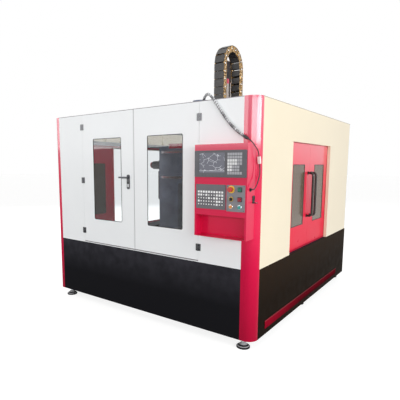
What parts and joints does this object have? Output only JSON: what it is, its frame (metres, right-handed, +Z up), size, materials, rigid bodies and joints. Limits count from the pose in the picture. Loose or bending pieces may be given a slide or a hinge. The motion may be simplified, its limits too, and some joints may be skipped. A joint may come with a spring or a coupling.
{
  "type": "cnc milling machine",
  "caption": "Enclosed bridge-type milling machine with front swing doors, side sliding doors, a control box, a drag chain loop above the open top, and moving X, Y and Z axes.",
  "frame": {"origin": "bottom centre of the bounding box, on the floor under the levelling feet", "axes": "+X to the right seen from the front, +Y to the back, +Z up"},
  "size_m": [2.584, 2.952, 2.8794],
  "materials": {
    "frame_paint": "satin",
    "steel_zinc": "polished",
    "pad_black": "matte",
    "band_black": "satin",
    "crimson_paint": "gloss",
    "white_paint": "satin",
    "cream_paint": "satin",
    "hinge_black": "satin",
    "track_red": "satin",
    "pan_grey": "satin",
    "clear_pane": "clear",
    "grey_pane": "gloss",
    "handle_black": "gloss",
    "lever_metal": "satin",
    "panel_dark": "matte",
    "screen_glass": "gloss",
    "key_plastic": "matte",
    "panel_grey": "matte",
    "button_red": "gloss",
    "button_green": "gloss",
    "button_orange": "gloss",
    "switch_black": "matte",
    "loom_grey": "matte",
    "lead_black": "matte",
    "plug_white": "matte",
    "cast_grey": "painted",
    "rail_steel": "ground",
    "table_iron": "machined",
    "motor_black": "satin",
    "chain_steel": "satin"
  },
  "bodies": {
    "frame": {"enclosure_frame": "frame_paint", "foot_studs": "steel_zinc", "foot_pads": "pad_black", "lower_skirts": "band_black", "corner_posts": "crimson_paint", "front_surround": "white_paint", "side_panels": "cream_paint", "rear_panels": "white_paint", "side_trims": "crimson_paint", "hinge_bases": "hinge_black", "door_tracks": "track_red", "chip_pans": "pan_grey", "control_box": "crimson_paint", "cnc_panel": "panel_dark", "cnc_screen": "screen_glass", "panel_keys": "key_plastic", "key_panel": "panel_grey", "button_plate": "panel_grey", "cable_sockets": "switch_black", "loom_tube": "loom_grey", "lead_tube": "lead_black", "lead_connector": "plug_white", "machine_bed": "cast_grey", "guide_rails": "rail_steel", "columns": "cast_grey", "crossbeam": "cast_grey", "beam_cover": "crimson_paint", "axis_motors": "motor_black"},
    "left_door": {"left_door": "white_paint", "left_window": "clear_pane", "left_hinge_halves": "hinge_black", "lever_plate": "lever_metal"},
    "door_lever": {"door_lever": "lever_metal"},
    "right_door": {"right_door": "white_paint", "right_window": "clear_pane", "right_hinge_halves": "hinge_black"},
    "right_front_slide": {"right_front_leaf": "crimson_paint", "right_front_pane": "grey_pane", "right_front_handle": "handle_black"},
    "right_rear_slide": {"right_rear_leaf": "crimson_paint", "right_rear_pane": "grey_pane", "right_rear_handle": "handle_black"},
    "left_front_slide": {"left_front_leaf": "crimson_paint", "left_front_pane": "grey_pane", "left_front_handle": "handle_black"},
    "left_rear_slide": {"left_rear_leaf": "crimson_paint", "left_rear_pane": "grey_pane", "left_rear_handle": "handle_black"},
    "stop_button": {"stop_button": "button_red"},
    "key_switch": {"key_switch": "switch_black"},
    "power_on_button": {"power_on_button": "button_green"},
    "power_off_button": {"power_off_button": "button_red"},
    "hold_button": {"hold_button": "button_orange"},
    "start_button": {"start_button": "button_green"},
    "table": {"work_table": "table_iron"},
    "saddle": {"saddle": "cast_grey", "z_motor": "motor_black", "drag_chain": "chain_steel"},
    "ram": {"ram": "cast_grey"},
    "spindle": {"spindle": "rail_steel"}
  },
  "joints": [
    {"name": "left_door_swing", "type": "hinge", "parent": "frame", "child": "left_door", "pos_m": [-0.807, -1.332, 1.38], "axis": [0, 0, 1], "range_deg": [-110, 0]},
    {"name": "door_lever_turn", "type": "hinge", "parent": "left_door", "child": "door_lever", "pos_m": [-0.121, -1.344, 1.421], "axis": [0, 1, 0], "range_deg": [-45, 0], "stiffness_Nm_per_rad": 2, "springref_deg": 20.05},
    {"name": "right_door_swing", "type": "hinge", "parent": "frame", "child": "right_door", "pos_m": [0.717, -1.332, 1.38], "axis": [0, 0, 1], "range_deg": [0, 98]},
    {"name": "right_front_slide", "type": "slide", "parent": "frame", "child": "right_front_slide", "axis": [0, -1, 0], "range_m": [0, 0.5]},
    {"name": "right_rear_slide", "type": "slide", "parent": "frame", "child": "right_rear_slide", "axis": [0, 1, 0], "range_m": [0, 0.5]},
    {"name": "left_front_slide", "type": "slide", "parent": "frame", "child": "left_front_slide", "axis": [0, 1, 0], "range_m": [0, 0.5]},
    {"name": "left_rear_slide", "type": "slide", "parent": "frame", "child": "left_rear_slide", "axis": [0, -1, 0], "range_m": [0, 0.5]},
    {"name": "stop_press", "type": "slide", "parent": "frame", "child": "stop_button", "axis": [0, 1, 0], "range_m": [0, 0.005]},
    {"name": "key_turn", "type": "hinge", "parent": "frame", "child": "key_switch", "pos_m": [1.101, -1.449, 1.278], "axis": [0, 1, 0], "range_deg": [0, 90]},
    {"name": "power_on_press", "type": "slide", "parent": "frame", "child": "power_on_button", "axis": [0, 1, 0], "range_m": [0, 0.0035], "stiffness_N_per_m": 400, "springref_m": -0.004},
    {"name": "power_off_press", "type": "slide", "parent": "frame", "child": "power_off_button", "axis": [0, 1, 0], "range_m": [0, 0.0035], "stiffness_N_per_m": 400, "springref_m": -0.004},
    {"name": "hold_press", "type": "slide", "parent": "frame", "child": "hold_button", "axis": [0, 1, 0], "range_m": [0, 0.0035], "stiffness_N_per_m": 400, "springref_m": -0.004},
    {"name": "start_press", "type": "slide", "parent": "frame", "child": "start_button", "axis": [0, 1, 0], "range_m": [0, 0.0035], "stiffness_N_per_m": 400, "springref_m": -0.004},
    {"name": "y_axis", "type": "slide", "parent": "frame", "child": "table", "axis": [0, 1, 0], "range_m": [-0.34, 0.34]},
    {"name": "x_axis", "type": "slide", "parent": "frame", "child": "saddle", "axis": [1, 0, 0], "range_m": [-0.35, 0.35]},
    {"name": "z_axis", "type": "slide", "parent": "saddle", "child": "ram", "axis": [0, 0, 1], "range_m": [-0.3, 0], "deforming": ["drag_chain"]},
    {"name": "spindle_turn", "type": "hinge", "parent": "ram", "child": "spindle", "pos_m": [0, -0.203, 1.15], "axis": [0, 0, 1], "continuous": true}
  ]
}
